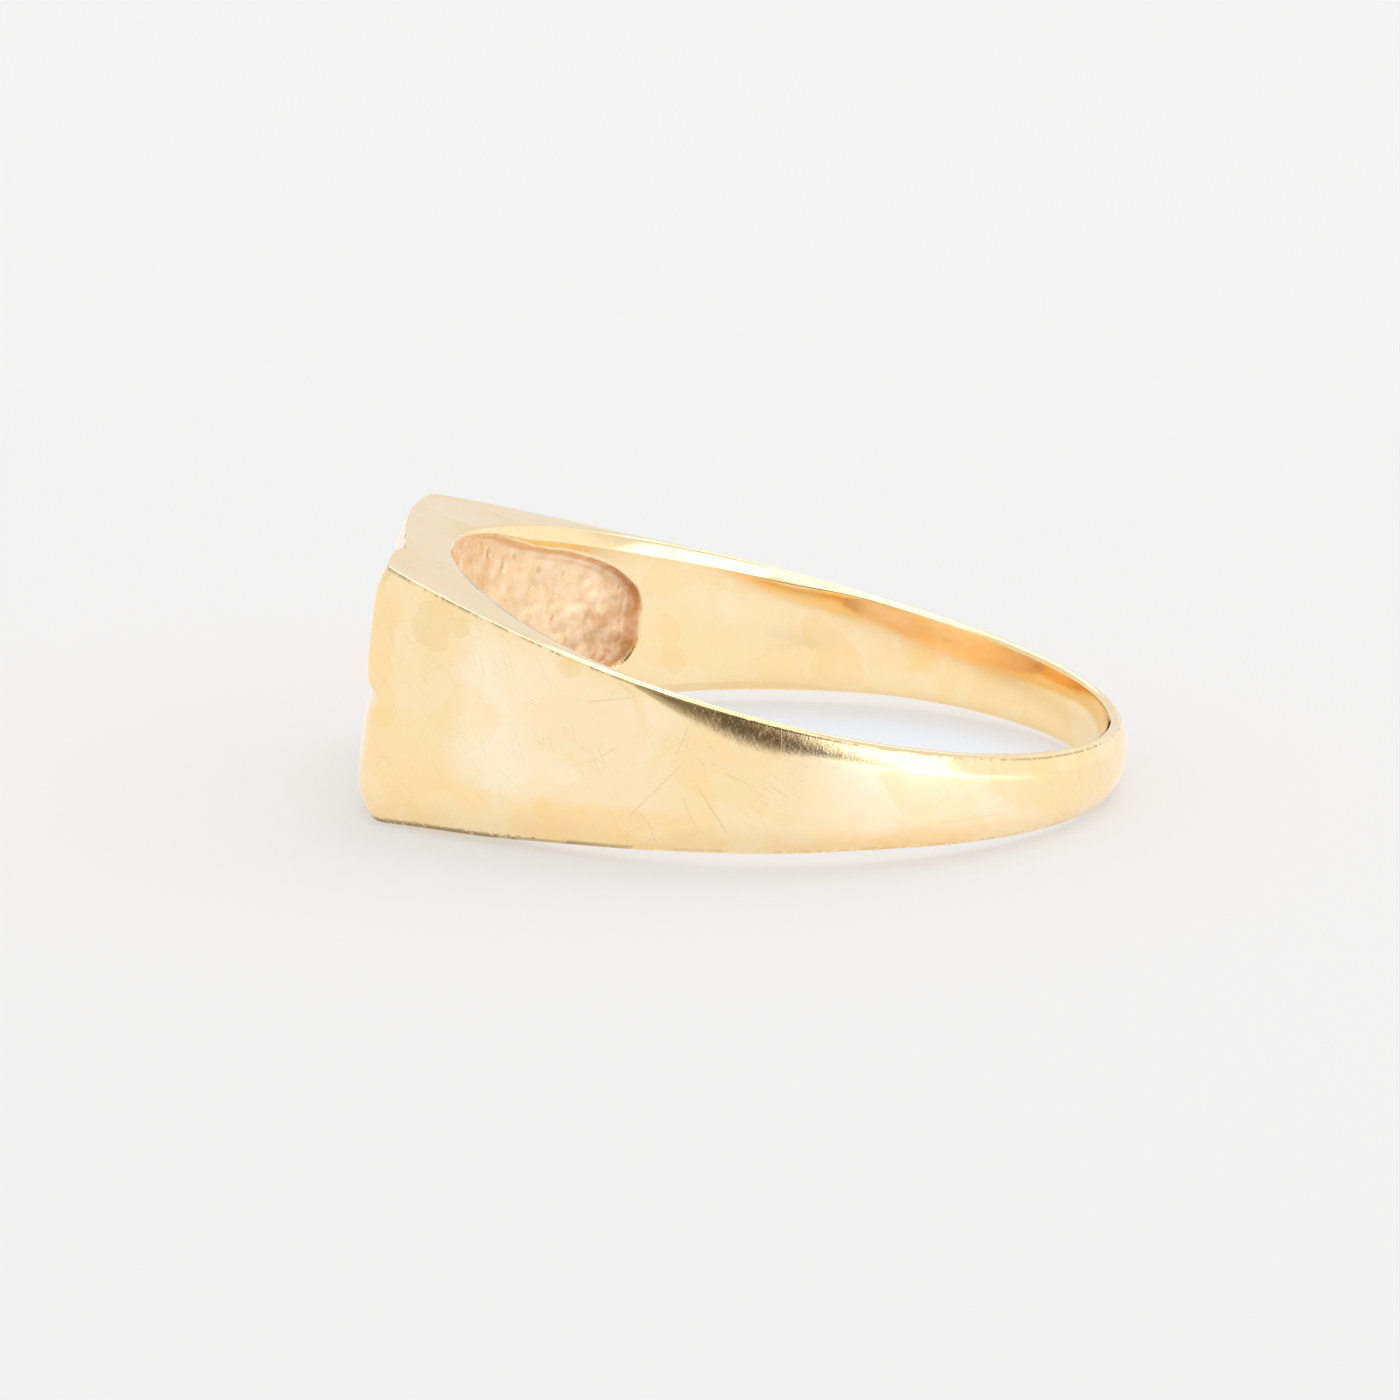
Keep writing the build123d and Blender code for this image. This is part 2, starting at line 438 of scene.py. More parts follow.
def unrolled(points, phi):
    """Distance round the ring and across each section, in mm, to lay scratches along.

    It is 0 at the middle of the near side. Each of the smaller pieces starts elsewhere,
    so that its pattern is its own.
    """
    middle = OUTSIDE_ROWS // 2
    steps = np.linalg.norm(np.diff(points[:, middle], axis=0), axis=1)
    around = np.concatenate([[0], np.cumsum(steps)])
    if phi[0] < NEAR_SIDE < phi[-1]:
        around = around - np.interp(NEAR_SIDE, phi, around)
    else:
        around = around + 3 * phi[0]
    steps = np.linalg.norm(np.diff(points, axis=1, prepend=points[:, :1]), axis=2)
    across = np.cumsum(steps, axis=1)
    across = across - across[:, middle : middle + 1]
    return np.stack([np.broadcast_to(around[:, None], across.shape), across, 0 * across], axis=-1)


def swept_piece(name, node, phi, wall_rows, material):
    """One closed mesh along the sections at phi, with flat ends, standing for a CAD node."""
    points, masks = sections(phi, wall_rows)
    flat = unrolled(points, phi)
    count, around = points.shape[:2]
    verts = points.reshape(-1, 3) * MM
    index = np.arange(count * around).reshape(count, around)
    here, ahead = index[:-1], index[1:]
    corners = [here, np.roll(here, -1, axis=1), np.roll(ahead, -1, axis=1), ahead]
    quads = np.stack(corners, axis=-1).reshape(-1, 4)[:, ::-1]
    faces = quads.tolist() + [index[0].tolist(), index[-1, ::-1].tolist()]

    mesh = bpy.data.meshes.new(name)
    mesh.from_pydata(verts.tolist(), [], faces)
    mesh.transform(RING_TO_FRAME)
    mesh.polygons.foreach_set("use_smooth", [True] * len(quads) + [False, False])
    ends = np.empty(len(mesh.edges) * 2, dtype=int)
    mesh.edges.foreach_get("vertices", ends)
    section_of = ends.reshape(-1, 2) // around
    at_cap = (section_of == 0).all(axis=1) | (section_of == count - 1).all(axis=1)
    mesh.attributes.new("sharp_edge", "BOOLEAN", "EDGE").data.foreach_set("value", at_cap)
    for label, values in masks.items():
        mesh.attributes.new(label, "FLOAT", "POINT").data.foreach_set("value", values.ravel())
    unrolled_at = mesh.attributes.new("surface_mm", "FLOAT_VECTOR", "POINT")
    unrolled_at.data.foreach_set("vector", flat.ravel())
    mesh.update()
    mesh.materials.append(material)

    piece = bpy.data.objects.new(name, mesh)
    bpy.context.scene.collection.objects.link(piece)
    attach(piece, "root")
    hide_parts(node)
    return piece


# ---------------------------------------------------------------- materials
class Shader:
    """A material's node tree, with short calls to add and join nodes."""

    def __init__(self, name):
        self.material = bpy.data.materials.new(name)
        self.material.use_nodes = True
        self.tree = self.material.node_tree
        self.tree.nodes.clear()
        self.output = self.add("ShaderNodeOutputMaterial")
        self.surface = self.add("ShaderNodeBsdfPrincipled")
        self.tree.links.new(self.surface.outputs[0], self.output.inputs[0])

    def add(self, kind, **settings):
        """A node of that kind. Settings name its properties."""
        node = self.tree.nodes.new(kind)
        for key, value in settings.items():
            setattr(node, key, value)
        return node

    def put(self, socket, value):
        """Joins an output to a socket, or sets the socket's own value."""
        if isinstance(value, bpy.types.NodeSocket):
            self.tree.links.new(value, socket)
        else:
            socket.default_value = value

    def maths(self, operation, a, b=0.0, c=0.0, clamp=False):
        """Result of a Math node."""
        node = self.add("ShaderNodeMath", operation=operation, use_clamp=clamp)
        for socket, value in zip(node.inputs, (a, b, c)):
            self.put(socket, value)
        return node.outputs[0]

    def spread(self, value, low, high, to_low=0.0, to_high=1.0):
        """A smooth Map Range from low..high to to_low..to_high."""
        node = self.add("ShaderNodeMapRange", interpolation_type="SMOOTHSTEP")
        for socket, v in zip(node.inputs, (value, low, high, to_low, to_high)):
            self.put(socket, v)
        return node.outputs[0]

    def mix(self, amount, a, b):
        """Colour between a and b."""
        node = self.add("ShaderNodeMix", data_type="RGBA")
        self.put(node.inputs[0], amount)
        self.put(node.inputs[6], a)
        self.put(node.inputs[7], b)
        return node.outputs[2]

    def attribute(self, name, output):
        """A mesh attribute."""
        return self.add("ShaderNodeAttribute", attribute_name=name).outputs[output]

    def place_mm(self):
        """Where a point lies on the object, in millimetres."""
        place = self.add("ShaderNodeVectorMath", operation="SCALE")
        self.put(place.inputs[0], self.add("ShaderNodeTexCoord").outputs["Object"])
        place.inputs["Scale"].default_value = 1 / MM
        return place.outputs[0]

    def turned(self, vector, degrees, stretch=(1, 1, 1), shift=(0, 0, 0)):
        """The vector turned in its own plane and shifted, then scaled."""
        turn = self.add("ShaderNodeMapping")
        self.put(turn.inputs[0], vector)
        turn.inputs[1].default_value = shift
        turn.inputs[2].default_value = (0, 0, math.radians(degrees))
        scale = self.add("ShaderNodeVectorMath", operation="MULTIPLY")
        self.put(scale.inputs[0], turn.outputs[0])
        scale.inputs[1].default_value = stretch
        return scale.outputs[0]

    def noise(self, vector, scale, detail=2.0, rough=0.5, distortion=0.0):
        """Value of a Noise texture."""
        node = self.add("ShaderNodeTexNoise")
        node.inputs["Scale"].default_value = scale
        node.inputs["Detail"].default_value = detail
        node.inputs["Roughness"].default_value = rough
        node.inputs["Distortion"].default_value = distortion
        self.put(node.inputs["Vector"], vector)
        return node.outputs[0]

    def bump(self, height, distance, normal=None):
        """Normal of a Bump node. Distance is in metres."""
        node = self.add("ShaderNodeBump")
        node.inputs["Strength"].default_value = 1.0
        node.inputs["Distance"].default_value = distance
        self.put(node.inputs["Height"], height)
        if normal is not None:
            self.put(node.inputs["Normal"], normal)
        return node.outputs[0]


DEEP_GOLD = (0.98, 0.72, 0.36, 1)
PALE_GOLD = (0.985, 0.86, 0.63, 1)
TIDE_LINE = (0.93, 0.68, 0.33, 1)
STAIN_INSIDE = (0.97, 0.66, 0.28, 1)
STAIN_OUTSIDE = (0.88, 0.64, 0.31, 1)
SCRATCHED = (0.72, 0.52, 0.25, 1)
# Painted shade along the outer edges, and the dark of the pits.
PIT_DARK_AND_EDGE_SHADE = (0.34, 0.25, 0.13, 1)
# Brown speckles of the upper crowned strip.
CROWN_BROWN = (0.74, 0.46, 0.26, 1)
CAST_DEEP = (0.95, 0.705, 0.455, 1)
CAST_PALE = (0.985, 0.80, 0.575, 1)
CAST_SPOT = (0.52, 0.36, 0.22, 1)
# Painted shade in the hollow's creases and ends.
CREVICE_SHADE_COLOUR = (0.60, 0.33, 0.16, 1)

# Each stain on the unrolled surface: where it is and how wide, in mm. The last five are inside.
STAINS = [
    ((-10.1, 2.34), 0.72),
    ((-9.15, 2.5), 0.3),
    ((-5.7, 2.24), 0.34),
    ((-36.0, 4.1), 0.8),
    ((-35.2, 3.5), 0.5),
    ((-30.5, 5.1), 0.45),
    ((-30.8, 5.9), 0.4),
    ((-38.6, 2.6), 0.7),
]

# Each scratch: where it starts and ends on the unrolled near side, and its width, in mm.
LONG_SCRATCHES = [
    ((-1.9, -0.1), (-0.7, -1.5), 0.035),
    ((-2.2, -0.5), (-1.6, -1.5), 0.025),
    ((-3.6, -1.4), (-2.1, 0.6), 0.03),
    ((-2.5, 0.5), (-2.2, 1.6), 0.025),
    ((-5.2, 1.4), (-3.6, 1.9), 0.03),
    ((-4.9, -0.2), (-4.0, 0.5), 0.02),
    ((-1.2, 0.3), (-0.2, 0.0), 0.02),
    ((4.6, -0.55), (6.9, -0.3), 0.03),
    ((3.2, -0.75), (4.8, -0.62), 0.025),
]

# Fine scratches: the degrees they run at, seed, length and width in mm, and rarity.
FINE_SCRATCHES = [
    (62, 1.0, 1.6, 0.035, 0.66),
    (28, 2.0, 1.6, 0.035, 0.66),
    (-38, 3.0, 1.1, 0.03, 0.68),
    (84, 4.0, 2.2, 0.03, 0.68),
]


def fine_scratches(s, flat, degrees, seed, length, width, rarity):
    """Mask of thin scratches that run one way, in patches."""
    stretch = (1 / length, 1 / width, 1)
    lines = s.noise(s.turned(flat, degrees, stretch, (seed, -seed, seed)), 1.0, 1.0)
    patches = s.noise(s.turned(flat, 0, (1, 1, 1), (seed * 3, seed, 0)), 0.55, 1.0)
    drawn = s.spread(lines, rarity, rarity + 0.06)
    return s.maths("MULTIPLY", drawn, s.spread(patches, 0.45, 0.62))


def long_scratch(s, flat, start, end, width):
    """Mask of one straight scratch between two points of the unrolled surface, in mm."""
    run = math.dist(start, end)
    heading = math.atan2(end[1] - start[1], end[0] - start[0])
    to_start = Matrix.Rotation(-heading, 3, "Z") @ Vector((-start[0], -start[1], 0))
    split = s.add("ShaderNodeSeparateXYZ")
    s.put(split.inputs[0], s.turned(flat, -math.degrees(heading), shift=tuple(to_start)))
    along, off = split.outputs[0], split.outputs[1]
    thin = s.spread(s.maths("ABSOLUTE", off), width, width * 0.3)
    begin = s.spread(along, 0.0, 0.1 * run)
    stop = s.spread(along, run, 0.7 * run)
    return s.maths("MULTIPLY", thin, s.maths("MULTIPLY", begin, stop))


def all_scratches(s, flat, worn):
    """Mask of every scratch. Inside the ring they are faint."""
    marks = [fine_scratches(s, flat, *settings) for settings in FINE_SCRATCHES]
    marks += [long_scratch(s, flat, *settings) for settings in LONG_SCRATCHES]
    scratch = marks[0]
    for mark in marks[1:]:
        scratch = s.maths("MAXIMUM", scratch, mark)
    return s.maths("MULTIPLY", scratch, s.maths("MULTIPLY_ADD", worn, 0.85, 0.15))


def stain(s, flat, spot, size, ripple):
    """Mask of a roundish stain at a spot of the unrolled surface, with a rippled border."""
    away = s.add("ShaderNodeVectorMath", operation="DISTANCE")
    s.put(away.inputs[0], flat)
    away.inputs[1].default_value = (*spot, 0)
    reach = s.maths("MULTIPLY_ADD", ripple, -1.4 * size, away.outputs["Value"])
    return s.spread(reach, 0.36 * size, 0.24 * size)


def clean_gold(s, solid, flat, worn):
    """Colour of the polished metal: deep and pale patches, a painted paler middle of the head's
    sides, tide lines and stains.
    """
    patches = s.noise(solid, 0.38, 2.0, 0.45, 0.8)
    clouds = s.noise(solid, 1.1, 3.0, 0.55, 0.3)
    broad = s.noise(solid, 0.2, 1.0, 0.4, 0.4)
    film = s.noise(s.turned(solid, 0, (1, 1, 1), (7, 3, 5)), 0.5, 1.5, 0.5, 1.2)
    tone = s.maths("MULTIPLY", s.spread(broad, 0.35, 0.65), 0.25)
    tone = s.maths("MULTIPLY_ADD", s.spread(patches, 0.49, 0.56), 0.17, tone)
    tone = s.maths("MULTIPLY_ADD", clouds, 0.35, tone)
    # Painted reflection: paler in the middle of the head's sides.
    tone = s.maths("MULTIPLY_ADD", s.attribute("rubbed", "Fac"), 0.48, tone)
    tone = s.maths("MULTIPLY_ADD", s.spread(film, 0.60, 0.63), -0.14, tone)
    tone = s.maths("SUBTRACT", tone, 0.08, clamp=True)
    gold = s.mix(tone, DEEP_GOLD, PALE_GOLD)

    shore = s.maths("ABSOLUTE", s.maths("SUBTRACT", patches, 0.47))
    tide = s.maths("MULTIPLY", s.spread(shore, 0.006, 0.0), s.spread(clouds, 0.42, 0.55))
    gold = s.mix(s.maths("MULTIPLY", tide, 0.35), gold, TIDE_LINE)

    stained = 0.0
    for spot, size in STAINS:
        stained = s.maths("MAXIMUM", stained, stain(s, flat, spot, size, clouds))
    tarnish = s.mix(worn, STAIN_INSIDE, STAIN_OUTSIDE)
    return s.mix(s.maths("MULTIPLY", stained, 0.36), gold, tarnish)


def pits(s, solid):
    """Mask of small round pits, one in some of the cells of a Voronoi texture."""
    cells = s.add("ShaderNodeTexVoronoi")
    s.put(cells.inputs["Vector"], solid)
    cells.inputs["Scale"].default_value = 1.5
    chosen = s.add("ShaderNodeSeparateColor")
    s.put(chosen.inputs[0], cells.outputs["Color"])
    pit_size = s.spread(chosen.outputs[0], 0.72, 1.0, 0.0, 0.07)
    return s.maths("LESS_THAN", cells.outputs["Distance"], pit_size)


def painted_edge_shade(s, solid):
    """Mask of painted shade along the outer edges, in stretches, and solid where it is thickest."""
    edge = s.attribute("outer_edge", "Fac")
    nick = s.noise(solid, 5.0, 3.0, 0.6)
    stretches = s.spread(s.noise(solid, 0.9, 2.0, 0.5), 0.38, 0.62, 0.0, 0.2)
    shade_stretches = s.maths("MULTIPLY", edge, s.spread(s.maths("ADD", nick, stretches), 0.5, 0.64))
    return s.maths("MAXIMUM", shade_stretches, s.spread(edge, 0.9, 1.5, 0.0, 0.9))


def cast_gold(s, solid, grain):
    """Colour of the metal as it was cast, with dark spots and painted shade in its creases and
    ends.
    """
    raw = s.mix(s.spread(grain, 0.3, 0.7), CAST_DEEP, CAST_PALE)
    spot = s.spread(s.noise(solid, 1.7, 2.0, 0.5), 0.67, 0.74)
    raw = s.mix(s.maths("MULTIPLY", spot, 0.35), raw, CAST_SPOT)
    # Painted shade, browner in the hollow's creases, ends and pits.
    grime = s.maths("MULTIPLY", s.attribute("grime", "Fac"), s.spread(grain, 0.7, 0.35, 0.42, 0.98))
    return s.mix(grime, raw, CREVICE_SHADE_COLOUR)


def brush_marks(s, flat):
    """Height of the marks of a rough brush, which cross each other."""
    brush = s.noise(s.turned(flat, 9, (17, 2.6, 1)), 1.0, 5.0, 0.72)
    cross = s.noise(s.turned(flat, -38, (13, 2.2, 1), (5, 2, 0)), 1.0, 4.0, 0.7)
    return s.maths("MULTIPLY_ADD", cross, 0.6, brush)


def polished_gold():
    """Yellow gold, polished and then worn, and left as it was cast in the hollow."""
    s = Shader("polished_gold")
    flat = s.attribute("surface_mm", "Vector")
    solid = s.place_mm()
    as_cast = s.attribute("as_cast", "Fac")
    worn = s.attribute("worn", "Fac")
    crowned = s.attribute("crown", "Fac")
    scratch = all_scratches(s, flat, worn)
    pit = pits(s, solid)
    brush = brush_marks(s, flat)
    grain = s.noise(solid, 2.6, 4.0, 0.55)

    gold = clean_gold(s, solid, flat, worn)
    gold = s.mix(s.maths("MULTIPLY", scratch, 0.3), gold, SCRATCHED)
    # Painted shade along the outer edges, joined with the dark of the pits.
    edge_shade_amount = s.maths("MULTIPLY", painted_edge_shade(s, solid), 0.6)
    dark = s.maths("MAXIMUM", edge_shade_amount, s.maths("MULTIPLY", pit, 0.6))
    gold = s.mix(dark, gold, PIT_DARK_AND_EDGE_SHADE)
    # Brown speckles over the upper half of the crowned strip.
    crown_speckles = s.maths("MULTIPLY", crowned, s.spread(s.noise(solid, 3.2, 3.0, 0.6), 0.5, 0.62))
    gold = s.mix(s.maths("MULTIPLY", crown_speckles, 0.35), gold, CROWN_BROWN)
    s.put(s.surface.inputs["Base Color"], s.mix(as_cast, gold, cast_gold(s, solid, grain)))

    haze = s.spread(s.noise(solid, 0.7, 3.0, 0.6), 0.35, 0.7, 0.07, 0.15)
    rough = s.maths("ADD", haze, s.maths("MULTIPLY", scratch, 0.16))
    rough = s.maths("ADD", rough, s.maths("MULTIPLY", dark, 0.25))
    rasped = s.maths("MULTIPLY", crowned, s.spread(brush, 0.84, 0.95))
    rough = s.maths("MULTIPLY_ADD", rasped, 0.2, rough)
    blend = s.add("ShaderNodeMix", data_type="FLOAT")
    s.put(blend.inputs["Factor"], as_cast)
    s.put(blend.inputs["A"], rough)
    s.put(blend.inputs["B"], s.maths("MULTIPLY_ADD", grain, 0.2, 0.42))
    s.put(s.surface.inputs["Roughness"], blend.outputs["Result"])
    s.surface.inputs["Metallic"].default_value = 1.0

    smooth_part = s.maths("SUBTRACT", 1.0, as_cast)
    cut = s.maths("MULTIPLY", s.maths("MAXIMUM", scratch, pit), smooth_part)
    normal = s.bump(s.maths("MULTIPLY", cut, -1.0), 1.2e-6)
    normal = s.bump(s.maths("MULTIPLY", brush, crowned), 8e-6, normal)
    hairs = s.noise(s.turned(flat, 50, (0.5, 22, 1)), 1.0, 2.0)
    normal = s.bump(s.maths("MULTIPLY", hairs, smooth_part), 0.35e-6, normal)
    pitted = s.noise(solid, 9.0, 4.0, 0.6)
    normal = s.bump(s.maths("MULTIPLY", pitted, as_cast), 16e-6, normal)
    s.put(s.surface.inputs["Normal"], normal)
    return s.material


def gold_solder():
    """The solder of the two joints: nearly the same gold, filed flush."""
    s = Shader("gold_solder")
    speckle = s.noise(s.place_mm(), 6.0, 3.0, 0.6)
    inner = s.mix(speckle, (0.98, 0.725, 0.37, 1), (0.985, 0.745, 0.40, 1))
    outer = s.mix(speckle, (0.985, 0.765, 0.45, 1), (0.985, 0.785, 0.48, 1))
    s.put(s.surface.inputs["Base Color"], s.mix(s.attribute("worn", "Fac"), inner, outer))
    s.put(s.surface.inputs["Roughness"], s.spread(speckle, 0.3, 0.7, 0.09, 0.13))
    s.put(s.surface.inputs["Normal"], s.bump(speckle, 0.4e-6))
    s.surface.inputs["Metallic"].default_value = 1.0
    return s.material


# ---------------------------------------------------------------- the four pieces
HEAD_HALF = 180 - SHANK_WRAP - SEAM_HALF
DENSE_HALF = 64.0       # the head's sections lie closer together over the hollow
COARSE_STEPS = 82
DENSE_STEPS = 420
SHANK_STEPS = 200
SEAM_STEPS = 4
HEAD_INSIDE_ROWS = 74
BAND_INSIDE_ROWS = 26

head_phi = HEAD + np.concatenate(
    [
        np.linspace(-HEAD_HALF, -DENSE_HALF, COARSE_STEPS, endpoint=False),
        np.linspace(-DENSE_HALF, DENSE_HALF, DENSE_STEPS, endpoint=False),
        np.linspace(DENSE_HALF, HEAD_HALF, COARSE_STEPS + 1),
    ]
)
shank_phi = np.linspace(-SHANK_WRAP + SEAM_HALF, SHANK_WRAP - SEAM_HALF, SHANK_STEPS)
seam_phi = np.linspace(-SEAM_HALF, SEAM_HALF, SEAM_STEPS)

gold = polished_gold()
solder = gold_solder()
swept_piece("signet_head_cast", "signet_head", head_phi, HEAD_INSIDE_ROWS, gold)
swept_piece("shank_band", "shank", shank_phi, BAND_INSIDE_ROWS, gold)
for node, turn in (("solder_seam_left", SHANK_WRAP), ("solder_seam_right", -SHANK_WRAP)):
    swept_piece(node + "_line", node, turn + seam_phi, BAND_INSIDE_ROWS, solder)


# ---------------------------------------------------------------- floor and light
FLOOR_HALF = 3.0        # half the floor's width, m
FLOOR_GREY = (0.46, 0.46, 0.46, 1)
FLOOR_GLOW = 0.425      # it glows a little, as a back-lit sweep does
GLOW_OUTSIDE = (1.0, 0.99, 0.98, 1)
GLOW_INSIDE = (1.0, 1.08, 1.22, 1)
ROOM_LIGHT = 0.88
WHITE = (1.0, 1.0, 1.0)
COOL = (0.6, 0.4, 1.0)
CARD_STEPS = 40         # points along each side of a card

SHEEN = 0.10            # light that the floor adds to reflections
SHEEN_INSIDE = 0.03     # more of it inside the ring
SHEEN_BEYOND = 1.3      # more of it, to the right and away from the ring
SHEEN_COOL = 0.40       # cool light just outside the ring, to the right
SHEEN_LEVEL = 0.02 * MM
COOL_LEVEL = 0.03 * MM
SHEEN_REACHES = (0.001, 3.0, 80)    # from, to and count of its rows round the ring, m


def pale_floor():
    """The floor's material. Its glow is cooler and brighter inside the ring: painted light over the
    ring's shade and warm bounce there.
    """
    s = Shader("pale_floor")
    reach = s.add("ShaderNodeVectorMath", operation="LENGTH")
    s.put(reach.inputs[0], s.add("ShaderNodeTexCoord").outputs["Object"])
    # Painted light: the floor glows cooler and brighter inside the ring, where the ring's shade and
    # warm bounce fall.
    inside = s.spread(reach.outputs["Value"], 0.0105, 0.0065)
    s.put(s.surface.inputs["Emission Color"], s.mix(inside, GLOW_OUTSIDE, GLOW_INSIDE))
    s.surface.inputs["Emission Strength"].default_value = FLOOR_GLOW
    s.surface.inputs["Base Color"].default_value = FLOOR_GREY
    s.surface.inputs["Roughness"].default_value = 1.0
    s.surface.inputs["Specular IOR Level"].default_value = 0.0
    return s.material


def floor_plane():
    """A wide pale floor at the level the ring stands on."""
    mesh = bpy.data.meshes.new("floor")
    signs = [(-1, -1), (1, -1), (1, 1), (-1, 1)]
    corners = [(x * FLOOR_HALF, y * FLOOR_HALF, 0) for x, y in signs]
    mesh.from_pydata(corners, [], [(0, 1, 2, 3)])
    mesh.materials.append(pale_floor())
    piece = bpy.data.objects.new("floor", mesh)
    bpy.context.scene.collection.objects.link(piece)


def glowing(name, colour, strength, covers=True):
    """Light of that colour, over what lies behind by the mesh's cover, or added to it."""
    material = bpy.data.materials.new(name)
    material.use_nodes = True
    tree = material.node_tree
    tree.nodes.clear()
    output = tree.nodes.new("ShaderNodeOutputMaterial")
    clear = tree.nodes.new("ShaderNodeBsdfTransparent")
    glow = tree.nodes.new("ShaderNodeEmission")
    glow.inputs[0].default_value = (*colour, 1)
    glow.inputs[1].default_value = strength
    both = tree.nodes.new("ShaderNodeMixShader" if covers else "ShaderNodeAddShader")
    cover = tree.nodes.new("ShaderNodeAttribute")
    cover.attribute_name = "cover"
    tree.links.new(cover.outputs["Fac"], both.inputs[0] if covers else glow.inputs[1])
    tree.links.new(clear.outputs[0], both.inputs[-2])
    tree.links.new(glow.outputs[0], both.inputs[-1])
    tree.links.new(both.outputs[0], output.inputs[0])
    return material


def seen_in_gold(name, verts, columns, rows, cover, material):
    """A grid that lights nothing and shows only where the gold reflects it."""
    faces = [
        (i * columns + j, i * columns + j + 1, (i + 1) * columns + j + 1, (i + 1) * columns + j)
        for i in range(rows - 1)
        for j in range(columns - 1)
    ]
    mesh = bpy.data.meshes.new(name)
    mesh.from_pydata(verts, [], faces)
    mesh.attributes.new("cover", "FLOAT", "POINT").data.foreach_set("value", cover.ravel())
    mesh.materials.append(material)
    piece = bpy.data.objects.new(name, mesh)
    bpy.context.scene.collection.objects.link(piece)
    piece.visible_camera = False
    piece.visible_diffuse = False
    piece.visible_shadow = False


def outward(azimuth, elevation):
    """Direction away from the ring at that azimuth from -Y towards +X, and elevation."""
    a, e = math.radians(azimuth), math.radians(elevation)
    return Vector((math.sin(a) * math.cos(e), -math.cos(a) * math.cos(e), math.sin(e)))


def around(azimuth, elevation, distance):
    """A point in that direction from the ring."""
    return centre + distance * outward(azimuth, elevation)


def card(name, azimuths, elevations, distance, colour, strength, fade=(6, 5), slant=0.0):
    """A curved card that fills those angles round the ring. It fades out over its borders.

    Slant is how far its azimuth moves for each degree that it rises.
    """
    sides = [np.linspace(*azimuths, CARD_STEPS), np.linspace(*elevations, CARD_STEPS)]
    low = elevations[0]
    verts = [around(a + slant * (e - low), e, distance) for e in sides[1] for a in sides[0]]
    cover = [smooth(0, f, v - v[0]) * smooth(0, f, v[-1] - v) for v, f in zip(sides, fade)]
    cover = np.outer(cover[1], cover[0])
    seen_in_gold(name, verts, CARD_STEPS, CARD_STEPS, cover, glowing(name, colour, strength))


def floor_sheet(name, level, colour, reaches, bearings, glow):
    """A sheet over the floor that adds light to what the gold reflects."""
    verts = [
        (r * math.sin(math.radians(b)), -r * math.cos(math.radians(b)), level)
        for r in reaches
        for b in bearings
    ]
    material = glowing(name, colour, 1.0, covers=False)
    seen_in_gold(name, verts, len(bearings), len(reaches), glow, material)


def floor_sheen():
    """The light that the gold sees on the floor beyond what the camera sees there."""
    bearings = np.linspace(-180, 180, 145)
    reaches = np.geomspace(*SHEEN_REACHES)
    to_right = smooth(10, 50, bearings) * smooth(102, 50, bearings)
    far = smooth(0.010, 0.055, reaches) * smooth(0.5, 0.08, reaches)
    glow = SHEEN + SHEEN_BEYOND * np.outer(far, to_right)
    glow = glow + SHEEN_INSIDE * smooth(0.0095, 0.007, reaches)[:, None]
    floor_sheet("floor_sheen", SHEEN_LEVEL, WHITE, reaches, bearings, glow)
    near = smooth(0.0095, 0.013, reaches) * smooth(0.2, 0.06, reaches)
    cool = SHEEN_COOL * np.outer(near, smooth(6, 27, bearings) * smooth(66, 36, bearings))
    floor_sheet("floor_cool_sheen", COOL_LEVEL, COOL, reaches, bearings, cool)


def soft_light(name, azimuth, elevation, distance, size, power):
    """A square area light aimed at the ring."""
    data = bpy.data.lights.new(name, "AREA")
    data.shape = "SQUARE"
    data.size = size
    data.energy = power
    lamp = bpy.data.objects.new(name, data)
    lamp.location = around(azimuth, elevation, distance)
    lamp.rotation_euler = (centre - lamp.location).to_track_quat("-Z", "Y").to_euler()
    lamp.visible_glossy = False
    bpy.context.scene.collection.objects.link(lamp)


def surroundings():
    """An even, nearly white room."""
    world = bpy.data.worlds.new("room")
    world.use_nodes = True
    background = world.node_tree.nodes["Background"]
    background.inputs[0].default_value = (*WHITE, 1)
    background.inputs[1].default_value = ROOM_LIGHT
    bpy.context.scene.world = world


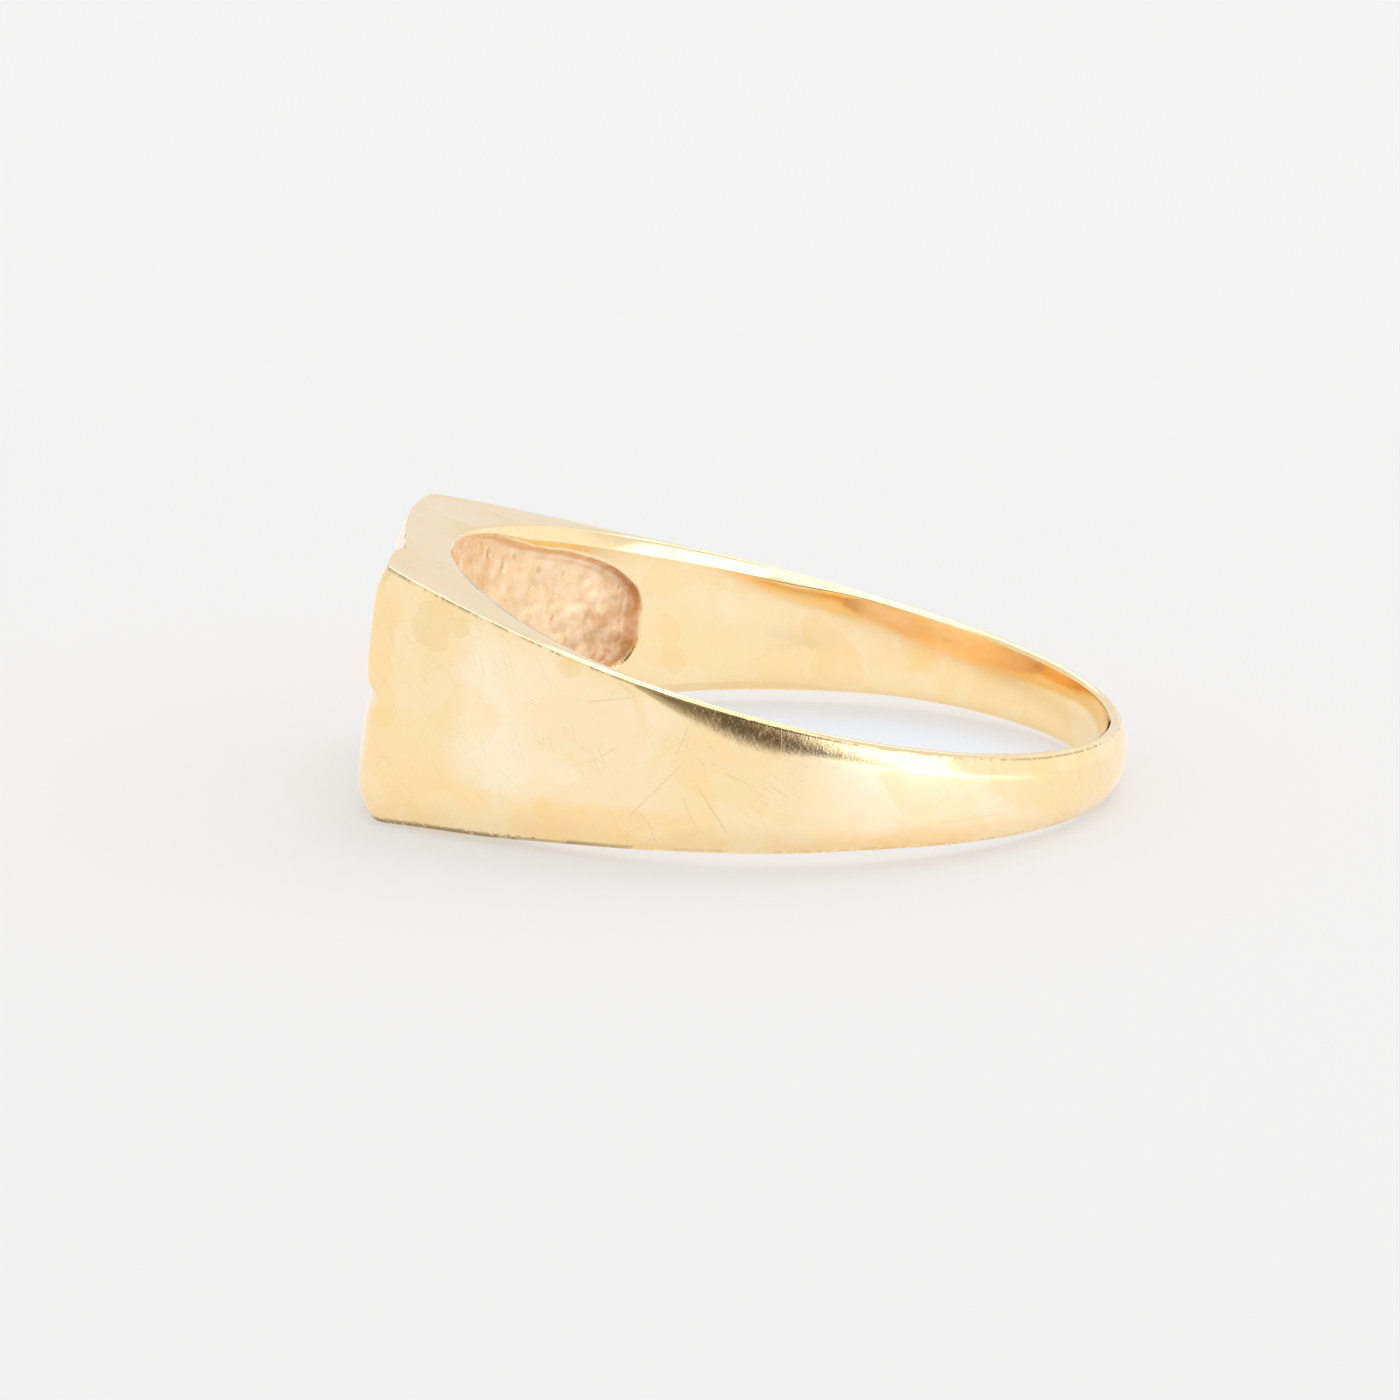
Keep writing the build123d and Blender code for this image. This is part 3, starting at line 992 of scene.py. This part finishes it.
floor_plane()
floor_sheen()
surroundings()
soft_light("key_light", azimuth=150, elevation=62, distance=0.9, size=0.7, power=1.55)
card("camera_side_shade", (-12, 46), (1.0, 46), 0.30, (1.0, 0.88, 0.72), 0.125, (7, 12), -0.55)
card("shade_beside", (-36, -4), (1.5, 40), 0.305, (1.0, 0.93, 0.75), 0.5, (10, 9), -0.4)
card("softbox_right", (40, 76), (-6, 40), 0.285, WHITE, 2.2, (10, 8), -0.62)
card("softbox_front", (38, 66), (2, 38), 0.2875, WHITE, 2.2, (10, 8), 0.3)
card("softbox_side", (40, 95), (30, 68), 0.28, WHITE, 2.2)
card("glow_side", (50, 160), (-8, 40), 0.29, WHITE, 1.06, (14, 9))
card("softbox_above", (160, 210), (24, 76), 0.26, WHITE, 2.0)
card("softbox_top", (-180, 180), (58, 90.1), 0.25, WHITE, 1.7, (0.01, 8))


# ---------------------------------------------------------------- camera
SENSOR = 36.0           # camera sensor, mm
LENS = 149.1            # focal length, mm
CAMERA_DISTANCE = 0.1596
CAMERA_AZIMUTH = 2.0
CAMERA_ELEVATION = 13.2
CAMERA_ROLL = 0.31
CENTRE_RIGHT = 2.105 * MM   # the ring's axis point lies this far right of the view's middle
CENTRE_LOW = 0.1 * MM       # and this far below it


def place_camera():
    """The camera at the viewing angle of the reference."""
    ahead = -outward(CAMERA_AZIMUTH, CAMERA_ELEVATION)
    azimuth = math.radians(CAMERA_AZIMUTH)
    level = Vector((math.cos(azimuth), math.sin(azimuth), 0))
    upward = level.cross(ahead)
    roll = math.radians(CAMERA_ROLL)
    right = math.cos(roll) * level + math.sin(roll) * upward
    up = -math.sin(roll) * level + math.cos(roll) * upward
    data = bpy.data.cameras.new("camera")
    data.sensor_width = SENSOR
    data.lens = LENS
    data.clip_start = 0.01
    data.clip_end = 20
    camera = bpy.data.objects.new("camera", data)
    turn = Matrix((right, up, -ahead)).transposed()
    place = centre - CAMERA_DISTANCE * ahead - CENTRE_RIGHT * right + CENTRE_LOW * up
    camera.matrix_world = Matrix.Translation(place) @ turn.to_4x4()
    bpy.context.scene.collection.objects.link(camera)
    bpy.context.scene.camera = camera


place_camera()
bpy.context.scene.view_settings.view_transform = "Standard"
